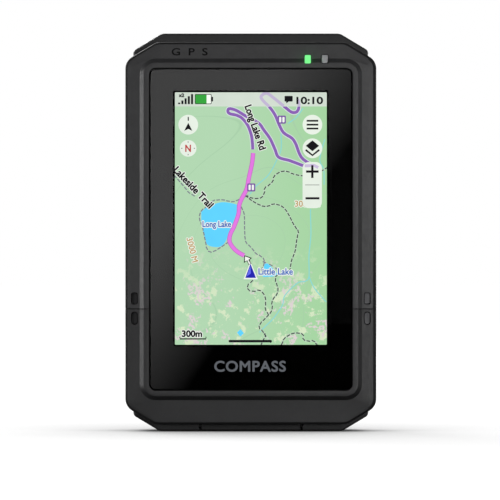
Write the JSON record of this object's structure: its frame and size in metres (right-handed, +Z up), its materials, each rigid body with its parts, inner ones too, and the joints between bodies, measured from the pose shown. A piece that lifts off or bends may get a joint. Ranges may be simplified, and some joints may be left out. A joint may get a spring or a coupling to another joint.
{
  "type": "handheld gps unit",
  "caption": "Rugged hand-held satellite navigation unit with a portrait touch screen, side buttons, a capped charging port, lanyard slots and a rear clip rail.",
  "frame": {"origin": "centre of the base, on the floor the unit stands on", "axes": "+X to the unit's right seen from the front, -Y out of the screen, +Z up"},
  "size_m": [0.0648, 0.027, 0.103],
  "materials": {
    "bezel": "dark grey, fine moulded texture",
    "housing": "black, fine moulded texture",
    "chassis": "black moulded",
    "rubber": "black, matte",
    "cover_glass": "clear, chemically strengthened, black surround behind",
    "screen": "lit map screen",
    "diffuser": "white film stack",
    "steel": "satin",
    "circuit_board": "green solder mask",
    "ceramic": "beige, fired",
    "battery": "dark blue wrap",
    "ribbon": "amber film",
    "green_window": "translucent, lit green",
    "grey_window": "translucent grey",
    "switch_plastic": "off-white"
  },
  "bodies": {
    "unit": {"upper_bezel": "bezel", "lower_bezel": "bezel", "rear_housing": "housing", "mount_spine": "housing", "chassis_frame": "chassis", "battery_tray": "chassis", "housing_gasket": "rubber", "glass_gasket": "rubber", "vent_plug": "rubber", "usb_seal": "rubber", "power_button_seal": "rubber", "user_button_seal": "rubber", "cover_glass": "cover_glass", "touch_sensor": "cover_glass", "lcd_panel": "screen", "backlight": "diffuser", "display_tray": "steel", "usb_port": "steel", "processor_shield": "steel", "rf_shield": "steel", "pressure_sensor": "steel", "beeper": "steel", "cap_hinge_pin": "steel", "power_switch": "steel", "user_switch": "steel", "case_screw_1": "steel", "case_screw_2": "steel", "case_screw_3": "steel", "case_screw_4": "steel", "case_screw_5": "steel", "case_screw_6": "steel", "board_screw_1": "steel", "board_screw_2": "steel", "board_screw_3": "steel", "board_screw_4": "steel", "spine_screw_1": "steel", "spine_screw_2": "steel", "main_board": "circuit_board", "led_board": "circuit_board", "antenna_board": "circuit_board", "gnss_antenna": "ceramic", "light_sensor": "ceramic", "battery_pack": "battery", "display_ribbon": "ribbon", "battery_lead": "ribbon", "lamp_light_pipe": "green_window", "sensor_light_pipe": "grey_window", "status_led": "switch_plastic", "battery_connector": "switch_plastic"},
    "power_button_body": {"power_button": "rubber", "power_switch_plunger": "switch_plastic"},
    "user_button_body": {"user_button": "rubber", "user_switch_plunger": "switch_plastic"},
    "cap_body": {"usb_cap": "housing"}
  },
  "joints": [
    {"name": "power_button_press", "type": "slide", "parent": "unit", "child": "power_button_body", "axis": [-1, 0, 0], "range_m": [0, 0.0006], "stiffness_N_per_m": 1500},
    {"name": "user_button_press", "type": "slide", "parent": "unit", "child": "user_button_body", "axis": [1, 0, 0], "range_m": [0, 0.0006], "stiffness_N_per_m": 1500},
    {"name": "usb_cap_hinge", "type": "hinge", "parent": "unit", "child": "cap_body", "pos_m": [0, 0.0044, 0.0013], "axis": [1, 0, 0], "range_deg": [0, 95]}
  ]
}
